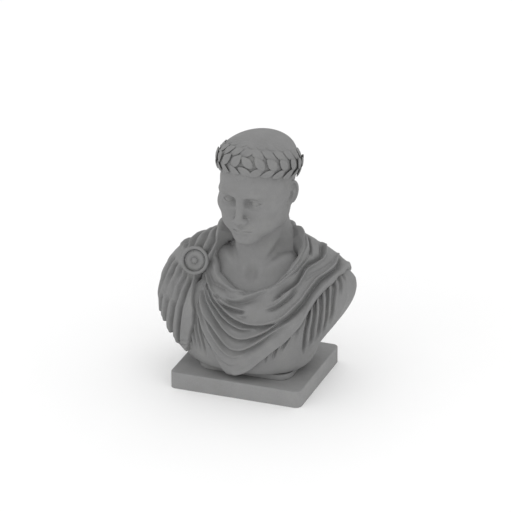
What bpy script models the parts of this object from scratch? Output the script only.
"""A draped Roman portrait bust with a laurel wreath, carved in one with its low foot, on a rectangular plinth.

Blender 4.5, metres, +Z up. The figure looks along -Y and its own left is +X. The origin is at the middle
of the plinth's underside.

The bust is a free form, so it is drawn in units of its own height: 560 units from the foot's underside to
the crown. At its real height one unit is one millimetre. Places on the draped body are given as a bearing
in degrees, from 0 at the front to +90 at the figure's left, and a height in units.
"""

import math

import bmesh
import bpy
import numpy as np

# The plinth's and the bust's driving dimensions, in metres
PLINTH_WIDTH = 0.315
PLINTH_DEPTH = 0.270
PLINTH_HEIGHT = 0.040
PLINTH_CORNER_RADIUS = 0.014
PLINTH_EDGE_RADIUS = 0.003
SEAT_GAP = 0.0003
BUST_HEIGHT = 0.560
BUST_SIDE_OFFSET = 0.008
STONE_COLOUR = (0.235, 0.235, 0.235)

# The bust's drawing units
DRAWN_HEIGHT = 560.0
UNIT = BUST_HEIGHT / DRAWN_HEIGHT

# The draped body: height, then half width or depth at that height
LEFT_WIDTH = (
    (18, 100), (26, 122), (56, 144), (95, 174), (128, 198), (155, 213), (182, 224), (206, 228),
    (230, 224), (255, 204), (278, 170), (296, 133), (310, 102), (325, 80), (350, 66), (390, 62),
)
RIGHT_WIDTH = (
    (18, 120), (26, 150), (40, 178), (63, 200), (100, 216), (125, 221), (150, 223), (179, 221),
    (210, 211), (235, 195), (260, 170), (282, 134), (300, 104), (320, 80), (350, 66), (390, 62),
)
FRONT_DEPTH = (
    (18, 105), (26, 118), (60, 125), (110, 128), (150, 124), (175, 113), (200, 94), (230, 70),
    (260, 54), (300, 48), (390, 50),
)
BACK_DEPTH = (
    (18, 80), (30, 95), (80, 105), (160, 110), (220, 105), (270, 90), (305, 74), (330, 66), (390, 64),
)
LEFT_SQUARENESS = 2.3
RIGHT_SQUARENESS = 2.6
BODY_BOTTOM = 18.0
BODY_TOP = 345.0


def smooth_curve(points):
    """Returns a function through the points that never overshoots between them."""
    x, y = np.array(points, float).T
    step = np.diff(x)
    slope = np.diff(y) / step
    tangent = np.zeros_like(x)
    tangent[0], tangent[-1] = slope[0], slope[-1]
    for i in range(1, len(x) - 1):
        if slope[i - 1] * slope[i] > 0:
            before, after = step[i - 1], step[i]
            tangent[i] = 3 * (before + after) / (
                (2 * after + before) / slope[i - 1] + (after + 2 * before) / slope[i]
            )

    def value(at):
        i = np.clip(np.searchsorted(x, at) - 1, 0, len(x) - 2)
        t = np.clip((at - x[i]) / step[i], 0, 1)
        return (
            y[i] * (1 + 2 * t) * (1 - t) ** 2
            + y[i + 1] * t * t * (3 - 2 * t)
            + step[i] * (tangent[i] * t * (1 - t) ** 2 + tangent[i + 1] * t * t * (t - 1))
        )

    return value


LEFT_AT, RIGHT_AT = smooth_curve(LEFT_WIDTH), smooth_curve(RIGHT_WIDTH)
FRONT_AT, BACK_AT = smooth_curve(FRONT_DEPTH), smooth_curve(BACK_DEPTH)


def ramp(value, low, high):
    """0 below low, 1 above high, and a smooth rise between."""
    t = np.clip((value - low) / (high - low), 0, 1)
    return t * t * (3 - 2 * t)


def body_point(bearing, height):
    """The plain body's surface, before any carving, at a bearing in degrees and a height."""
    angle = np.radians(bearing)
    side, forward = np.sin(angle), np.cos(angle)
    width = np.where(side > 0, LEFT_AT(height), RIGHT_AT(height))
    depth = np.where(forward > 0, FRONT_AT(height), BACK_AT(height))
    power = np.where(side > 0, LEFT_SQUARENESS, RIGHT_SQUARENESS)
    radius = (np.abs(side / width) ** power + np.abs(forward / depth) ** power) ** (-1 / power)
    return np.stack([radius * side, -radius * forward, height + 0 * radius], -1)


# The cloak's edges, as bearing and height: the neck opening, the front hem and the hem on the right arm
NECK_EDGE = (
    (-180, 326), (-120, 326), (-72, 320), (-64, 308), (-60, 262), (-46, 236), (-29, 221), (-12, 209),
    (3, 206), (19, 210), (36, 221), (47, 233), (59, 253), (67, 278), (76, 301), (98, 318), (130, 326),
    (180, 326),
)
FRONT_HEM = (
    (-44, 150), (-41, 118), (-37, 84), (-30, 48), (-23, 20), (-14, 9), (-3, 14), (11, 36), (28, 70),
    (43, 111), (53, 150), (60, 181), (67, 205), (75, 228), (84, 247), (92, 250), (104, 238),
    (114, 200), (119, 140), (122, 80), (123, 20),
)
ARM_HEM = (
    (-49, 30), (-56, 34), (-64, 45), (-70, 62), (-75, 93), (-79, 116), (-92, 128), (-112, 118),
    (-138, 78), (-160, 42), (-176, 30),
)
CLOAK_THICKNESS = 8.0
SKIN_SINK = 4.0
SIDE_SINK = 26.0
EDGE_SOFTNESS = 2.5
NECK_ROLL_HEIGHT = 8.0
NECK_ROLL_HALF_WIDTH = 9.0

# The brooch on the right shoulder
BROOCH_BEARING = -69.0
BROOCH_HEIGHT = 247.0
BROOCH_RADIUS = 32.5
BROOCH_SWELL = 13.0

# Nested swags from the brooch to the left shoulder: bearing and height of the lowest point, then the
# bearing and height where each starts and ends, the depth and the half width of the furrow
SWAGS = (
    (-9, 199, -58, 236, 12, 206, 4.0, 4.5),
    (-7, 181, -22, 184, 46, 226, 7.0, 6.0),
    (-3, 167, -27, 181, 10, 169, 8.0, 4.5),
    (17, 141, -53, 209, 84, 264, 10.0, 6.0),
    (1, 127, -47, 196, 30, 146, 7.5, 5.0),
    (2, 105, -45, 192, 60, 190, 9.5, 6.5),
    (-3, 74, -43, 180, 58, 178, 10.0, 7.0),
    (-5, 50, -38, 130, 30, 92, 3.5, 5.0),
)
SWAG_POWER = 1.5
LINE_STEPS = 28


def rising_line(low_bearing, low, start_bearing, start, end_bearing, end):
    """A hanging curve's bearings and heights, rising both ways from its lowest point."""
    bearing = np.linspace(start_bearing, end_bearing, LINE_STEPS)
    left = bearing < low_bearing
    reach = np.where(left, low_bearing - start_bearing, end_bearing - low_bearing)
    rise = np.where(left, start - low, end - low)
    share = np.abs(bearing - low_bearing) / np.maximum(reach, 1)
    return np.stack([bearing, low + rise * share ** SWAG_POWER], -1)


def spline(guides, steps=LINE_STEPS):
    """A smooth line through guide points, at even steps."""
    guides = np.array(guides, float)
    padded = np.vstack([2 * guides[0] - guides[1], guides, 2 * guides[-1] - guides[-2]])
    at = np.linspace(0, len(guides) - 1, steps)
    i = np.clip(at.astype(int), 0, len(guides) - 2)
    t = (at - i)[:, None]
    a, b, c, d = (padded[i + k] for k in range(4))
    return 0.5 * (
        2 * b + (c - a) * t + (2 * a - 5 * b + 4 * c - d) * t**2 + (3 * b - a - 3 * c + d) * t**3
    )


def between(first, last, share):
    """The guide line a share of the way from the first to the last."""
    return np.array(first, float) * (1 - share) + np.array(last, float) * share


# Families of furrows that fan out: the first and last line, and how many there are
FAMILIES = {
    "hanging_pleats": (
        ((-60, 217), (-52, 191), (-46, 158), (-46, 118), (-50, 60), (-50, 20)),
        ((-81, 241), (-77, 214), (-74, 187), (-75, 155), (-79, 115), (-84, 60)),
        4, 11.0, 6.5,
    ),
    "chest_pleats": (
        ((-57, 215), (-50, 190), (-42, 155), (-38, 110), (-36, 70)),
        ((-53, 210), (-43, 182), (-34, 150), (-30, 112), (-24, 78)),
        2, 6.0, 4.5,
    ),
    "shoulder_pleats": (
        ((-67, 262), (-68, 285), (-70, 304), (-105, 314), (-140, 306), (-160, 270)),
        ((-86, 262), (-97, 258), (-110, 245), (-122, 215), (-128, 170), (-130, 110)),
        5, 8.0, 6.0,
    ),
    "tunic_pleats": (
        ((58, 174), (56, 150), (57, 108), (62, 70)),
        ((84, 246), (80, 225), (76, 180), (75, 135)),
        6, 9.0, 5.0,
    ),
    "under_hem_pleats": (
        ((46, 112), (42, 86), (39, 60)),
        ((33, 76), (31, 56), (30, 38)),
        3, 5.0, 4.5,
    ),
    "arm_folds": (
        ((-84, 238), (-87, 200), (-88, 165), (-90, 130)),
        ((-100, 236), (-102, 200), (-104, 165), (-106, 125)),
        2, 4.0, 7.0,
    ),
    "back_folds": (
        ((135, 250), (142, 190), (146, 120), (148, 20)),
        ((218, 250), (212, 190), (208, 120), (206, 20)),
        6, 7.0, 9.0,
    ),
}

# Layers on the left shoulder: each line runs over it and down the back
SHOULDER_LINES = (
    (((60, 244), (64, 253), (70, 272), (77, 292), (92, 304), (125, 306), (150, 285), (160, 220)), 4.0, 3.5),
    (((39, 200), (46, 207), (55, 218), (63, 232), (70, 254), (76, 274), (86, 288), (112, 284),
      (132, 255), (142, 180)), 11.0, 6.0),
    (((37, 191), (45, 198), (55, 211), (61, 226)), 5.0, 3.5),
    (((36, 179), (49, 199), (57, 212)), 5.0, 3.5),
    (((84, 264), (92, 268), (106, 255), (120, 220), (128, 150), (130, 60)), 9.0, 6.0),
)


def furrow(distance, half_width, depth):
    """A carved fold's section: a sharp wall up to the fold above it, and a slow rise below it."""
    x = distance / half_width
    floor = np.where(x > 0, np.exp(-((x / 0.55) ** 2)), np.exp(-((x / 1.15) ** 2)))
    crest = np.exp(-(((x - 1.25) / 0.75) ** 2))
    return depth * (0.45 * crest - 0.75 * floor)


def pleat(distance, half_width, depth):
    """A symmetric furrow between two round pleats."""
    x = np.abs(distance / half_width)
    return depth * (0.28 * np.exp(-(((x - 1.3) / 0.7) ** 2)) - 0.8 * np.exp(-(x**1.4)))


def line_distance(points, normals, line, reach):
    """Signed distance from a line on the body, positive on its left, and the share along it."""
    spots = body_point(line[:, 0], line[:, 1])
    low, high = spots.min(0) - reach, spots.max(0) + reach
    near = np.where(((points > low) & (points < high)).all(-1))[0]
    distance = np.full(len(points), 1e3)
    share = np.zeros(len(points))
    if not len(near):
        return distance, share
    at, facing = points[near], normals[near]
    start, run = spots[:-1], np.diff(spots, axis=0)
    length = (run * run).sum(-1)
    best = np.full(len(near), 1e9)
    for i in range(len(run)):
        offset = at - start[i]
        t = np.clip(offset @ run[i] / length[i], 0, 1)
        gap = offset - t[:, None] * run[i]
        size = (gap * gap).sum(-1)
        closer = size < best
        side = np.cross(facing[closer], run[i])
        side /= np.maximum(np.linalg.norm(side, axis=-1, keepdims=True), 1e-9)
        across = (gap[closer] * side).sum(-1)
        signed = np.where(across >= 0, 1, -1) * np.sqrt(size[closer])
        distance[near[closer]] = signed
        share[near[closer]] = (i + t[closer]) / len(run)
        best[closer] = size[closer]
    return distance, share


def fading(share, start=0.12, end=0.15):
    """1 along a fold, fading out at its two ends."""
    return ramp(share, 0, start) * (1 - ramp(share, 1 - end, 1))


def edge_height(edge, bearing):
    """The height of an edge at each bearing, for the part of it that runs forward."""
    edge = np.array(edge, float)
    order = np.argsort(edge[:, 0], kind="stable")
    return np.interp(bearing, edge[order, 0], edge[order, 1])


def drapery(points, normals):
    """How far each point of the plain body moves out along its normal when the cloak is carved."""
    bearing = np.degrees(np.arctan2(points[:, 0], -points[:, 1]))
    height = points[:, 2]
    out = np.zeros(len(points))

    def along(line, depth, half_width, section, ends=(0.12, 0.15)):
        distance, share = line_distance(points, normals, line, 3.5 * half_width)
        return section(distance, half_width, depth) * fading(share, *ends)

    for low_bearing, low, start_bearing, start, end_bearing, end, depth, width in SWAGS:
        line = rising_line(low_bearing, low, start_bearing, start, end_bearing, end)
        out += along(line, depth, width, furrow)
    for first, last, count, depth, width in FAMILIES.values():
        for k in range(count):
            guides = between(first, last, k / max(count - 1, 1))
            line = spline(guides)
            out += along(line, depth, width, pleat, (0.05, 0.25))
    for guides, depth, width in SHOULDER_LINES:
        out += along(spline(guides), depth, width, furrow, (0.1, 0.2))

    # the cloak's thickness over the skin, with a rolled edge round the neck
    neck_line = spline(NECK_EDGE, 120)
    distance, _ = line_distance(points, normals, neck_line, 40)
    to_neck = np.where(height > edge_height(NECK_EDGE, bearing), -1, 1) * np.abs(distance)
    on_cloak = ramp(to_neck, -EDGE_SOFTNESS, EDGE_SOFTNESS)
    roll = np.exp(-(((to_neck - NECK_ROLL_HALF_WIDTH) / NECK_ROLL_HALF_WIDTH) ** 2))
    out = out * on_cloak + NECK_ROLL_HEIGHT * roll * on_cloak

    # the front hem over the tunic, and the hem on the right arm
    distance, _ = line_distance(points, normals, spline(FRONT_HEM, 90), 30)
    hem_top = edge_height(FRONT_HEM[:17], bearing)
    tunic = (height < hem_top) & (bearing > -44) & (bearing < 104)
    tunic |= (bearing > 104) & (bearing < 114 + (200 - height) * 0.06) & (height < 238)
    to_hem = np.where(tunic, -1, 1) * np.abs(distance)
    on_cloak *= ramp(to_hem, -EDGE_SOFTNESS, EDGE_SOFTNESS) * 0.999 + 0.001
    distance, _ = line_distance(points, normals, spline(ARM_HEM, 60), 30)
    bare_arm = (height < edge_height(ARM_HEM, bearing)) & (bearing < -49)
    to_arm_hem = np.where(bare_arm, -1, 1) * np.abs(distance)
    below = 1 - ramp(to_arm_hem, -EDGE_SOFTNESS, EDGE_SOFTNESS)

    # the cloth bunched under the brooch, and the skin sunk beneath the head's own neck and chest
    pin = body_point(np.array([BROOCH_BEARING]), np.array([BROOCH_HEIGHT]))[0]
    bunch = BROOCH_SWELL * np.exp(-(((points - pin) ** 2).sum(-1) / (BROOCH_RADIUS * 1.5) ** 2))
    inside = 1 - ramp(to_neck, -EDGE_SOFTNESS, EDGE_SOFTNESS)
    sunk = inside * (SKIN_SINK + SIDE_SINK * ramp(np.abs(bearing), 38, 75))
    return out + bunch + CLOAK_THICKNESS * (on_cloak - 0.35) - 2.2 * CLOAK_THICKNESS * below - sunk


# The head: its centre in the bust's own axes, and how far it bows and turns in degrees
HEAD_CENTRE = (4.0, -20.0, 447.0)
HEAD_BOW = 6.0
HEAD_TURN = -4.0
# Levels and places in the head's own axes: x to the figure's left, y to the back, z up from its centre
BROW_LEVEL = 14.0
EYE_LEVEL = -5.0
EYE_OUT = 31.5
EYE_FRONT = -71.0
EYE_RADIUS = 13.5
EYE_HALF_WIDTH = 14.5
LID_THICKNESS = 1.9
EYE_OPEN_UP = 5.4
EYE_OPEN_DOWN = 4.4
NOSE_BASE = -52.0
NOSE_FRONT = -104.0
MOUTH_LEVEL = -76.0
MOUTH_HALF_WIDTH = 25.0
CHIN_LEVEL = -101.0
EAR_CENTRE = (74.0, 14.0, -17.0)
EAR_TURN = -24.0
EAR_LEAN = -12.0

# Parts of the head: an egg has a centre and radii, a limb has two ends and their radii, and each has
# the softness of its join. A pair stands on both sides, and a hollow takes away.
HEAD_FORMS = (
    ("egg", (0, 14, 26), (79, 100, 88), 1),
    ("egg", (0, -36, 22), (62, 55, 50), 24),
    ("egg", (0, -30, -30), (60, 58, 58), 30),
    ("egg", (0, -30, -64), (54, 51, 42), 24),
    ("egg pair", (49, -6, -57), (16, 25, 30), 28),
    ("egg pair", (33, -54, -60), (20, 22, 28), 24),
    ("egg", (0, -68, CHIN_LEVEL), (24, 22, 18), 22),
    ("egg pair", (43, -57, -28), (21, 22, 15), 26),
    ("limb pair", (53, -50, -23), (70, -6, -12), (9, 8), 26),
    ("limb pair", (6, -87, BROW_LEVEL), (38, -82, BROW_LEVEL + 3), (8, 7), 14),
    ("limb pair", (38, -82, BROW_LEVEL + 3), (60, -56, BROW_LEVEL - 8), (7, 6), 12),
    ("egg pair hollow", (EYE_OUT - 1, EYE_FRONT - 18, EYE_LEVEL), (20, 13.5, 11.5), 12),
    ("egg pair hollow", (16, -93, EYE_LEVEL + 1), (6, 9, 9), 10),
    ("egg pair", (EYE_OUT, EYE_FRONT + 3, EYE_LEVEL), (18, 16, 13.5), 6),
    ("limb", (0, -85, 6), (0, NOSE_FRONT, NOSE_BASE + 10), (7, 8.5), 12),
    ("egg", (0, NOSE_FRONT + 2, NOSE_BASE + 7), (9.5, 10, 8.5), 7),
    ("egg pair", (12.5, NOSE_FRONT + 8, NOSE_BASE + 4), (6.5, 11, 7), 6),
    ("egg pair hollow", (6.3, NOSE_FRONT + 3, NOSE_BASE - 2.5), (3.2, 6, 3.2), 2),
    ("egg", (0, -68, MOUTH_LEVEL + 3), (33, 26, 24), 16),
    ("limb hollow", (0, -99, -60), (0, -98, -68), (2.4, 2.8), 5),
    ("limb pair", (4, -92, MOUTH_LEVEL + 5), (MOUTH_HALF_WIDTH - 3, -81, MOUTH_LEVEL + 1), (4.6, 2), 4),
    ("limb pair", (0, -90, MOUTH_LEVEL - 6), (13, -84, MOUTH_LEVEL - 4.5), (5.4, 4), 5),
    ("limb pair hollow", (0, -98, MOUTH_LEVEL), (MOUTH_HALF_WIDTH, -82, MOUTH_LEVEL), (1.2, 1.4), 2.5),
    ("limb pair hollow", (0, -97, MOUTH_LEVEL - 15), (12, -93, MOUTH_LEVEL - 14), (4.5, 3), 8),
)
NECK_FORMS = (
    ("limb", (0, 22, 270), (2, 8, 420), (62, 57), 16),
    ("limb pair", (20, 40, 350), (78, 34, 284), (18, 18), 22),
    ("limb pair", (56, 26, 404), (13, -62, 232), (13, 8), 13),
    ("limb pair", (13, -66, 230), (84, -46, 268), (7, 7), 13),
    ("egg", (2, -42, 318), (12, 13, 20), 16),
    ("egg hollow", (1, -84, 236), (12, 16, 12), 14),
)
EAR_FORMS = (
    ("egg", (0, 0, 0), (8, 17, 31), 1),
    ("egg", (0, -3, -25), (6, 9, 12), 8),
    ("egg hollow", (9, -3, -4), (7, 8, 13), 4),
    ("egg hollow", (10, 3, 15), (6, 5, 8), 4),
    ("egg", (2, -13, -6), (5, 4, 6), 4),
)
CHEST_CENTRE = (2, -34, 252)
CHEST_RADII = (98, 92, 66)


def length(vectors):
    """The length of each vector."""
    return np.sqrt((vectors * vectors).sum(-1))


def egg(points, centre, radii):
    """About how far each point is outside an ellipsoid."""
    offset = (points - np.array(centre, float)) / np.array(radii, float)
    size = np.maximum(length(offset), 1e-6)
    slope = length(offset / np.array(radii, float))
    return size * (size - 1) / np.maximum(slope, 1e-6)


def limb(points, start, end, radii):
    """How far each point is outside a round bar that tapers between two radii."""
    start, end = np.array(start, float), np.array(end, float)
    run = end - start
    share = np.clip((points - start) @ run / (run @ run), 0, 1)
    spine = start + share[:, None] * run
    return length(points - spine) - (radii[0] + (radii[1] - radii[0]) * share)


def merge(first, second, softness):
    """The union of two shapes with a soft join."""
    gap = np.maximum(softness - np.abs(first - second), 0) / softness
    return np.minimum(first, second) - gap * gap * softness / 4


def hollow(solid, cutter, softness):
    """A shape with another taken out of it, with a soft edge."""
    return -merge(-solid, cutter, softness)


def turned(points, centre, turn, lean):
    """Points seen from a centre, in axes turned about z and then leant about x."""
    a, b = math.radians(turn), math.radians(lean)
    x, y, z = (points - np.array(centre, float)).T
    x, y = x * math.cos(a) + y * math.sin(a), y * math.cos(a) - x * math.sin(a)
    return np.stack([x, y * math.cos(b) + z * math.sin(b), z * math.cos(b) - y * math.sin(b)], -1)


def unturned(points, centre, turn, lean):
    """The way back from turned axes."""
    a, b = math.radians(turn), math.radians(lean)
    x, y, z = np.asarray(points, float).T
    y, z = y * math.cos(b) - z * math.sin(b), z * math.cos(b) + y * math.sin(b)
    x, y = x * math.cos(a) - y * math.sin(a), y * math.cos(a) + x * math.sin(a)
    return np.stack([x, y, z], -1) + np.array(centre, float)


def both_sides(points):
    """Points folded over onto the figure's left side."""
    return np.stack([np.abs(points[:, 0]), points[:, 1], points[:, 2]], -1)


def joined(points, forms, start=None):
    """The distance outside a list of parts joined one after another."""
    side = both_sides(points)
    total = start
    for kind, *places, softness in forms:
        at = side if "pair" in kind else points
        part = (egg if "egg" in kind else limb)(at, *places)
        if total is None:
            total = part
        elif "hollow" in kind:
            total = hollow(total, part, softness)
        else:
            total = merge(total, part, softness)
    return total


def face(points):
    """The head without its neck, in its own axes."""
    form = joined(points, HEAD_FORMS)
    band = egg(turned(points, WREATH_CENTRE, 0, WREATH_PITCH), *HAIR_BAND)
    form = merge(form, band, 4)
    side = both_sides(points)
    eye = side - np.array((EYE_OUT, EYE_FRONT, EYE_LEVEL))
    across = np.clip(np.abs(eye[:, 0]) / EYE_HALF_WIDTH, 0, 1)
    top = EYE_OPEN_UP * (1 - across**2)
    bottom = -EYE_OPEN_DOWN * (1 - across**2.4)
    form = merge(form, length(eye) - EYE_RADIUS - LID_THICKNESS, 4)
    opening = np.maximum(np.maximum(eye[:, 2] - top, bottom - eye[:, 2]), eye[:, 1] + 2)
    opening = np.maximum(opening, np.abs(eye[:, 0]) - EYE_HALF_WIDTH)
    form = hollow(form, opening, 0.9)
    form = np.minimum(form, length(eye) - EYE_RADIUS)
    lobe = turned(side, EAR_CENTRE, EAR_TURN, EAR_LEAN)
    shell = joined(lobe, EAR_FORMS)
    rim = np.abs(np.hypot(lobe[:, 1] / 15.0, (lobe[:, 2] - 3) / 26.0) - 1) * 17
    return merge(form, merge(shell, np.hypot(rim, lobe[:, 0] - 6) - 3.2, 4), 4)


def neck(points):
    """The neck and the bare upper chest, in the bust's axes."""
    bearing = np.degrees(np.arctan2(points[:, 0], -points[:, 1]))
    skin = body_point(bearing, np.clip(points[:, 2], BODY_BOTTOM, BODY_TOP))
    chest = (np.hypot(points[:, 0], points[:, 1]) - np.hypot(skin[:, 0], skin[:, 1])) * 0.75
    chest = -merge(-chest, -egg(points, CHEST_CENTRE, CHEST_RADII), 8)
    return joined(points, NECK_FORMS, chest)


def bare_form(points):
    """How far each point is outside the head, neck and upper chest."""
    return merge(face(turned(points, HEAD_CENTRE, HEAD_TURN, HEAD_BOW)), neck(points), 16)


def add_egg(bm, centre, radii, place):
    """An ellipsoid in the rough of the head."""
    ball = bmesh.ops.create_icosphere(bm, subdivisions=3, radius=1)["verts"]
    spots = place(np.array([v.co for v in ball]) * np.array(radii, float) + np.array(centre, float))
    for vertex, spot in zip(ball, spots):
        vertex.co = spot


def add_limb(bm, start, end, radii, place):
    """A bar of the rough as a row of balls."""
    start, end = np.array(start, float), np.array(end, float)
    count = max(int(np.linalg.norm(end - start) / min(radii) * 1.5), 2)
    for share in np.linspace(0, 1, count):
        radius = radii[0] + (radii[1] - radii[0]) * share
        add_egg(bm, start + (end - start) * share, (radius,) * 3, place)


def rough_head(bm):
    """Plain balls and bars where the head's parts are, before the soft joins are made."""
    def on_head(spots):
        return unturned(spots, HEAD_CENTRE, HEAD_TURN, HEAD_BOW)

    def on_bust(spots):
        return spots

    def on_ear(spots):
        return unturned(spots, EAR_CENTRE, EAR_TURN, EAR_LEAN)

    for forms, place in ((HEAD_FORMS, on_head), (NECK_FORMS, on_bust), (EAR_FORMS, None)):
        for kind, *places, _ in forms:
            if "hollow" in kind:
                continue
            add = add_egg if "egg" in kind else add_limb
            mirrored = (1, -1) if "pair" in kind or place is None else (1,)
            for side in mirrored:
                def put(spots, side=side):
                    spots = on_ear(spots) if place is None else spots
                    return (place or on_head)(spots * np.array((side, 1, 1)))
                add(bm, *places, put)
    add_egg(bm, CHEST_CENTRE, np.array(CHEST_RADII) * (0.97, 0.62, 0.9), on_bust)
    add_egg(bm, *HAIR_BAND, lambda spots: on_head(unturned(spots, WREATH_CENTRE, 0, WREATH_PITCH)))


def relax_onto(points, form, rounds):
    """Points moved down the slope of a form until they lie on it."""
    step = 0.3
    for _ in range(rounds):
        value = form(points)
        slope = np.stack([form(points + step * axis) - value for axis in np.eye(3)], -1) / step
        move = np.clip(value / np.maximum((slope * slope).sum(-1), 0.25), -6, 6)
        points = points - move[:, None] * slope
    return points


def remeshed(mesh, voxel):
    """A mesh with its overlapping shells joined into one skin."""
    holder = bpy.data.objects.new("remesh", mesh)
    bpy.context.scene.collection.objects.link(holder)
    skin = holder.modifiers.new("skin", "REMESH")
    skin.mode = "VOXEL"
    skin.voxel_size = voxel
    graph = bpy.context.evaluated_depsgraph_get()
    result = bpy.data.meshes.new_from_object(holder.evaluated_get(graph))
    bpy.data.objects.remove(holder)
    return result


def head_mesh(voxels, rounds):
    """The head, neck and upper chest: rough balls joined, then drawn onto the soft form."""
    bm = bmesh.new()
    rough_head(bm)
    mesh = bpy.data.meshes.new("head")
    bm.to_mesh(mesh)
    bm.free()
    for voxel in voxels:
        mesh = remeshed(mesh, voxel)
        spots = np.empty(len(mesh.vertices) * 3)
        mesh.vertices.foreach_get("co", spots)
        spots = relax_onto(spots.reshape(-1, 3), bare_form, rounds)
        mesh.vertices.foreach_set("co", spots.ravel())
        mesh.update()
    return mesh


# The wreath follows the skull, pitched up at the front. Each row of leaves has its level, slant and lift
# in degrees, its shift as a share of a leaf, and its height above the skull
WREATH_CENTRE = (0.0, 12.0, 27.0)
WREATH_PITCH = -22.0
LEAF_ROWS = (
    (9.0, -30.0, 13.0, 0.0, 15.0), (26.0, 26.0, 10.0, 0.5, 14.0), (43.0, -26.0, 7.0, 0.0, 11.0),
    (58.0, 22.0, 4.0, 0.5, 6.0),
)
HAIR_BAND = ((0.0, 0.0, 24.0), (90.0, 108.0, 44.0))
LEAVES_A_ROW = 26
LEAF_LENGTH = 33.0
LEAF_WIDTH = 19.0
LEAF_THICKNESS = 6.0

# The foot under the bust, set in from the body's lower edge
FOOT_HALF_WIDTH = 115.0
FOOT_HALF_DEPTH = 85.0
FOOT_HEIGHT = 34.0
FOOT_CORNER = 32.0

# The brooch's face from its centre outwards: radius and height
BROOCH_PROFILE = (
    (0.0, 6.5), (5.0, 6.0), (8.5, 3.0), (9.5, 0.0), (19.5, 0.0), (20.5, 2.0), (21.5, 0.0), (22.5, 4.5),
    (28.0, 6.5), (BROOCH_RADIUS, 4.0), (BROOCH_RADIUS, -5.0), (28.0, -20.0), (0.0, -20.0),
)
BROOCH_FACING = (4.0, 24.0)
BROOCH_PROUD = 24.0
BROOCH_SIDES = 48

BODY_COLUMNS = 260
BODY_ROW_COUNT = 130
HEAD_VOXELS = (6.0, 3.6)
SKIN_VOXEL = 2.6
TRIANGLE_BUDGET = 9300
HEAD_FROM = 330.0
HEAD_CARE = 0.02


def body_mesh(columns, rows):
    """The closed body with its cloak carved in."""
    bm = bmesh.new()
    bmesh.ops.create_uvsphere(bm, u_segments=columns, v_segments=rows, radius=1)
    ball = np.array([v.co for v in bm.verts])
    turn = np.arctan2(ball[:, 0], -ball[:, 1])
    bearing = np.degrees(turn - 0.4 * np.sin(turn))
    level = np.arccos(np.clip(-ball[:, 2], -1, 1)) / math.pi
    height = np.linspace(BODY_BOTTOM, BODY_TOP, 200)
    width = (LEFT_AT(height) + FRONT_AT(height) * 1.3) / 2
    run = np.cumsum(np.hypot(np.diff(height, prepend=height[0]), np.diff(width, prepend=width[0])))
    cap = 0.04
    row_height = np.interp((level - cap) / (1 - 2 * cap), run / run[-1], height)
    spots = body_point(bearing, row_height)
    closing = np.minimum(np.clip(level / cap, 0, 1), np.clip((1 - level) / cap, 0, 1))
    spots[:, :2] *= closing[:, None]
    for vertex, spot in zip(bm.verts, spots):
        vertex.co = spot
    bm.normal_update()
    facing = np.array([v.normal for v in bm.verts])
    spots += facing * (drapery(spots, facing) * closing)[:, None]
    for vertex, spot in zip(bm.verts, spots):
        vertex.co = spot
    mesh = bpy.data.meshes.new("body")
    bm.to_mesh(mesh)
    bm.free()
    return mesh


def add_leaf(bm, around, level, slant, lift, height, detail):
    """One pointed leaf on the wreath, its tip towards the centre of the brow."""
    side = 1.0 if around > 0 else -1.0
    radii = np.array(HEAD_FORMS[0][2], float) + height
    ring = math.sqrt(max(1 - (level / radii[2]) ** 2, 0))
    turn = math.radians(around)
    spot = np.array((radii[0] * ring * math.sin(turn), -radii[1] * ring * math.cos(turn), level))
    out = spot / radii**2
    out /= np.linalg.norm(out)
    forward = np.array((-side * radii[0] * math.cos(turn), -side * radii[1] * math.sin(turn), 0.0))
    forward -= out * (forward @ out)
    forward /= np.linalg.norm(forward)
    rise = np.cross(out, forward) * side
    rise = rise if rise[2] > 0 else -rise
    tilt, pitch = math.radians(slant), math.radians(lift)
    along = forward * math.cos(tilt) + rise * math.sin(tilt)
    along = along * math.cos(pitch) + out * math.sin(pitch)
    across = np.cross(out, along)
    across /= np.linalg.norm(across)
    up = np.cross(along, across)
    ball = bmesh.ops.create_uvsphere(bm, u_segments=detail, v_segments=detail, radius=1)["verts"]
    shape = np.array([v.co for v in ball])
    length_share = shape[:, 2]
    pointed = 1 - 0.35 * np.clip(length_share, 0, 1) ** 2
    sag = 3.0 * (length_share**2)
    spots = (spot + np.outer(length_share * LEAF_LENGTH / 2, along)
             + np.outer(shape[:, 0] * pointed * LEAF_WIDTH / 2, across)
             + np.outer(shape[:, 1] * LEAF_THICKNESS / 2 - sag, up))
    pitched = unturned(spots, WREATH_CENTRE, 0, WREATH_PITCH)
    for vertex, place in zip(ball, unturned(pitched, HEAD_CENTRE, HEAD_TURN, HEAD_BOW)):
        vertex.co = place


def wreath_mesh(detail):
    """All the leaves of the wreath."""
    bm = bmesh.new()
    for level, slant, lift, shift, height in LEAF_ROWS:
        for k in range(LEAVES_A_ROW):
            around = ((k + 0.5 * (1 + shift)) / LEAVES_A_ROW) * 360 - 180
            add_leaf(bm, around, level, slant, lift, height, detail)
    mesh = bpy.data.meshes.new("wreath")
    bm.to_mesh(mesh)
    bm.free()
    return mesh


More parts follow.
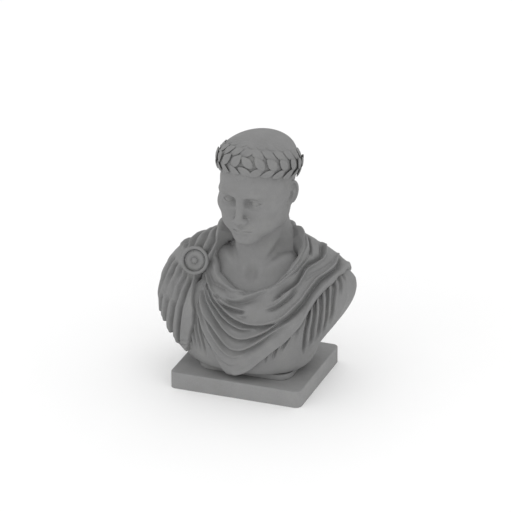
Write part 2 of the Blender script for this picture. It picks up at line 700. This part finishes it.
def brooch_mesh():
    """The round brooch, turned about its own axis and set on the right shoulder."""
    bm = bmesh.new()
    rings = [bm.verts.new((radius, 0, rise)) for radius, rise in BROOCH_PROFILE]
    edges = [bm.edges.new(pair) for pair in zip(rings, rings[1:])]
    bmesh.ops.spin(bm, geom=rings + edges, cent=(0, 0, 0), axis=(0, 0, 1), angle=math.tau,
                   steps=BROOCH_SIDES, use_duplicate=False)
    bmesh.ops.remove_doubles(bm, verts=bm.verts, dist=0.0001)
    bmesh.ops.recalc_face_normals(bm, faces=bm.faces)
    turn, rise = (math.radians(angle) for angle in BROOCH_FACING)
    out = np.array((math.sin(turn) * math.cos(rise), -math.cos(turn) * math.cos(rise), math.sin(rise)))
    across = np.array((math.cos(turn), math.sin(turn), 0.0))
    up = np.cross(out, across)
    seat = body_point(np.array([BROOCH_BEARING]), np.array([BROOCH_HEIGHT]))[0]
    for vertex in bm.verts:
        x, y, z = vertex.co
        vertex.co = seat + x * across + y * up + (z + BROOCH_PROUD) * out
    mesh = bpy.data.meshes.new("brooch")
    bm.to_mesh(mesh)
    bm.free()
    return mesh


def foot_mesh():
    """The low foot that the body stands on."""
    bm = bmesh.new()
    bmesh.ops.create_cube(bm, size=1)
    for vertex in bm.verts:
        vertex.co.x *= 2 * FOOT_HALF_WIDTH
        vertex.co.y *= 2 * FOOT_HALF_DEPTH
        vertex.co.z = (vertex.co.z + 0.5) * FOOT_HEIGHT
    upright = [e for e in bm.edges if abs(e.verts[0].co.z - e.verts[1].co.z) > 1]
    bmesh.ops.bevel(bm, geom=upright, offset=FOOT_CORNER, segments=6, profile=0.5, affect="EDGES")
    mesh = bpy.data.meshes.new("foot")
    bm.to_mesh(mesh)
    bm.free()
    return mesh


def plain_material(name, colour, roughness):
    """A one-colour material."""
    material = bpy.data.materials.new(name)
    material.use_nodes = True
    shader = material.node_tree.nodes["Principled BSDF"]
    shader.inputs["Base Color"].default_value = (*colour, 1)
    shader.inputs["Roughness"].default_value = roughness
    return material


def add_object(name, mesh, collection, material):
    """A named object in the part's collection."""
    item = bpy.data.objects.new(name, mesh)
    item.data.materials.clear()
    item.data.materials.append(material)
    collection.objects.link(item)
    return item


def bust(collection):
    """The carved bust, in one piece from its foot to the crown of the head."""
    bm = bmesh.new()
    pieces = (body_mesh(BODY_COLUMNS, BODY_ROW_COUNT), head_mesh(HEAD_VOXELS, 3), wreath_mesh(10),
              brooch_mesh(), foot_mesh())
    for piece in pieces:
        bm.from_mesh(piece)
    mesh = bpy.data.meshes.new("bust")
    bm.to_mesh(mesh)
    bm.free()
    skin = remeshed(mesh, SKIN_VOXEL)
    item = bpy.data.objects.new("thinning", skin)
    bpy.context.scene.collection.objects.link(item)
    plain = item.vertex_groups.new(name="plain")
    plain.add([v.index for v in skin.vertices if v.co.z < HEAD_FROM], 1, "REPLACE")
    plain.add([v.index for v in skin.vertices if v.co.z >= HEAD_FROM], 0.5, "REPLACE")
    thin = item.modifiers.new("thin", "DECIMATE")
    thin.vertex_group = plain.name
    thin.vertex_group_factor = HEAD_CARE
    thin.ratio = TRIANGLE_BUDGET / (2 * len(skin.polygons))
    graph = bpy.context.evaluated_depsgraph_get()
    carved = bpy.data.meshes.new_from_object(item.evaluated_get(graph))
    bpy.data.objects.remove(item)
    spots = np.empty(len(carved.vertices) * 3)
    carved.vertices.foreach_get("co", spots)
    spots = spots.reshape(-1, 3)
    low, high = spots[:, 2].min(), spots[:, 2].max()
    spots[:, 2] = (spots[:, 2] - low) * (DRAWN_HEIGHT / (high - low))
    spots = spots * UNIT + np.array((BUST_SIDE_OFFSET, 0, PLINTH_HEIGHT + SEAT_GAP))
    carved.vertices.foreach_set("co", spots.ravel())
    carved.update()
    return add_object("bust", carved, collection, plain_material("carved stone", STONE_COLOUR, 0.75))


def plinth(collection):
    """The square slab under the bust, with rounded corners and a softened edge."""
    bm = bmesh.new()
    bmesh.ops.create_cube(bm, size=1)
    for vertex in bm.verts:
        vertex.co.x *= PLINTH_WIDTH
        vertex.co.y *= PLINTH_DEPTH
        vertex.co.z = (vertex.co.z + 0.5) * PLINTH_HEIGHT
    upright = [e for e in bm.edges if abs(e.verts[0].co.z - e.verts[1].co.z) > PLINTH_HEIGHT / 2]
    bmesh.ops.bevel(bm, geom=upright, offset=PLINTH_CORNER_RADIUS, segments=6, profile=0.5, affect="EDGES")
    top = [e for e in bm.edges if min(v.co.z for v in e.verts) > PLINTH_HEIGHT * 0.99]
    bmesh.ops.bevel(bm, geom=top, offset=PLINTH_EDGE_RADIUS, segments=3, profile=0.5, affect="EDGES")
    mesh = bpy.data.meshes.new("plinth")
    bm.to_mesh(mesh)
    bm.free()
    return add_object("plinth", mesh, collection, plain_material("plinth stone", STONE_COLOUR, 0.8))


def main():
    """Clear the scene and build the part."""
    for item in list(bpy.data.objects):
        bpy.data.objects.remove(item)
    collection = bpy.data.collections.new("Emperor bust")
    bpy.context.scene.collection.children.link(collection)
    plinth(collection)
    bust(collection)


if __name__ == "__main__":
    main()
